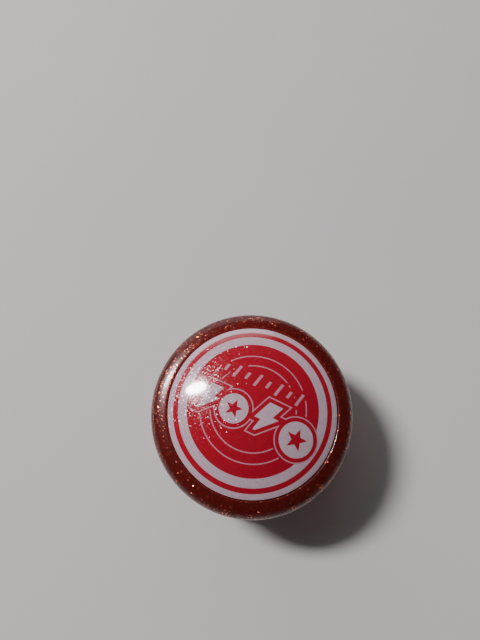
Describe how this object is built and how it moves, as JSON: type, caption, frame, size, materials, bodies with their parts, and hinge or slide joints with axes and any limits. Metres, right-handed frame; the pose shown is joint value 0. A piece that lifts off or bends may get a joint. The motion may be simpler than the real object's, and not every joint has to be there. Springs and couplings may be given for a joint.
{
  "type": "yo-yo",
  "caption": "Light-up yo-yo: two rounded red halves with domed printed caps, a ball-bearing spool between them, a centrifugal clutch and a flasher.",
  "frame": {"origin": "centre of the rear face's flat land, which is the bottom centre of the bounding box", "axes": "+Z along the axle, out of the front face; +Y towards the top of the print; +X to the right of the print"},
  "size_m": [0.062, 0.062, 0.036],
  "materials": {
    "body_red": "translucent deep red, moulded gloss with fine red glitter",
    "print_film": "white film printed in red, lightly textured gloss",
    "steel": "bright zinc-plated steel",
    "ball_steel": "polished bearing steel",
    "spring_steel": "drawn spring wire",
    "brass": "plain turned and pressed brass",
    "cage_plastic": "moulded nylon",
    "spool_plastic": "natural white acetal, satin",
    "bridge_plastic": "moulded black plastic, satin",
    "arm_plastic": "moulded white plastic, satin",
    "board_green": "green solder mask",
    "chip_black": "cast black resin",
    "led_red": "clear red epoxy lens",
    "resistor_tan": "lacquered tan body",
    "cell_steel": "nickel-plated steel can"
  },
  "bodies": {
    "halves": {"front_shell": "body_red", "rear_shell": "body_red", "front_cap": "body_red", "rear_cap": "body_red", "front_label": "print_film", "rear_label": "print_film", "axle": "steel", "front_axle_nut": "steel", "rear_axle_nut": "steel", "front_spacer": "brass", "rear_spacer": "brass", "bearing_inner_race": "steel", "clutch_bridge": "bridge_plastic", "bridge_screws": "steel", "clutch_pins": "steel", "clutch_spring_1": "spring_steel", "clutch_spring_2": "spring_steel", "circuit_board": "board_green", "board_screws": "steel", "flasher_chip": "chip_black", "led_1": "led_red", "led_2": "led_red", "resistor": "resistor_tan", "battery_holder": "arm_plastic", "button_cell_1": "cell_steel", "button_cell_2": "cell_steel", "cell_contacts": "brass", "cell_strap": "brass", "switch_post": "brass", "switch_pin": "brass"},
    "spool": {"string_spool": "spool_plastic", "bearing_outer_race": "steel", "bearing_shields": "steel"},
    "ball_cage": {"bearing_cage": "cage_plastic", "bearing_balls": "ball_steel"},
    "arm_1": {"clutch_arm_1": "arm_plastic", "clutch_weight_1": "ball_steel"},
    "arm_2": {"clutch_arm_2": "arm_plastic", "clutch_weight_2": "ball_steel"},
    "switch_whisker": {"switch_spring": "spring_steel"}
  },
  "joints": [
    {"name": "spool_spin", "type": "hinge", "parent": "halves", "child": "spool", "pos_m": [0, 0, 0.018], "axis": [0, 0, 1], "continuous": true},
    {"name": "cage_spin", "type": "hinge", "parent": "halves", "child": "ball_cage", "pos_m": [0, 0, 0.018], "axis": [0, 0, 1], "continuous": true},
    {"name": "arm_1_swing", "type": "hinge", "parent": "halves", "child": "arm_1", "pos_m": [-0.009, -0.0135, 0.018], "axis": [0, 0, -1], "range_deg": [0, 8], "stiffness_Nm_per_rad": 0.0057, "springref_deg": -10.03, "deforming": ["clutch_spring_1"]},
    {"name": "arm_2_swing", "type": "hinge", "parent": "halves", "child": "arm_2", "pos_m": [0.009, 0.0135, 0.018], "axis": [0, 0, -1], "range_deg": [0, 8], "stiffness_Nm_per_rad": 0.0057, "springref_deg": -10.03, "deforming": ["clutch_spring_2"]},
    {"name": "switch_flex", "type": "hinge", "parent": "halves", "child": "switch_whisker", "pos_m": [0.0052, 0.0125, 0.0297], "axis": [0, 0, 1], "range_deg": [-3, 3], "stiffness_Nm_per_rad": 0.000011}
  ],
  "couplings": [
    {"joint": "cage_spin", "follows": "spool_spin", "ratio": 0.6441}
  ]
}
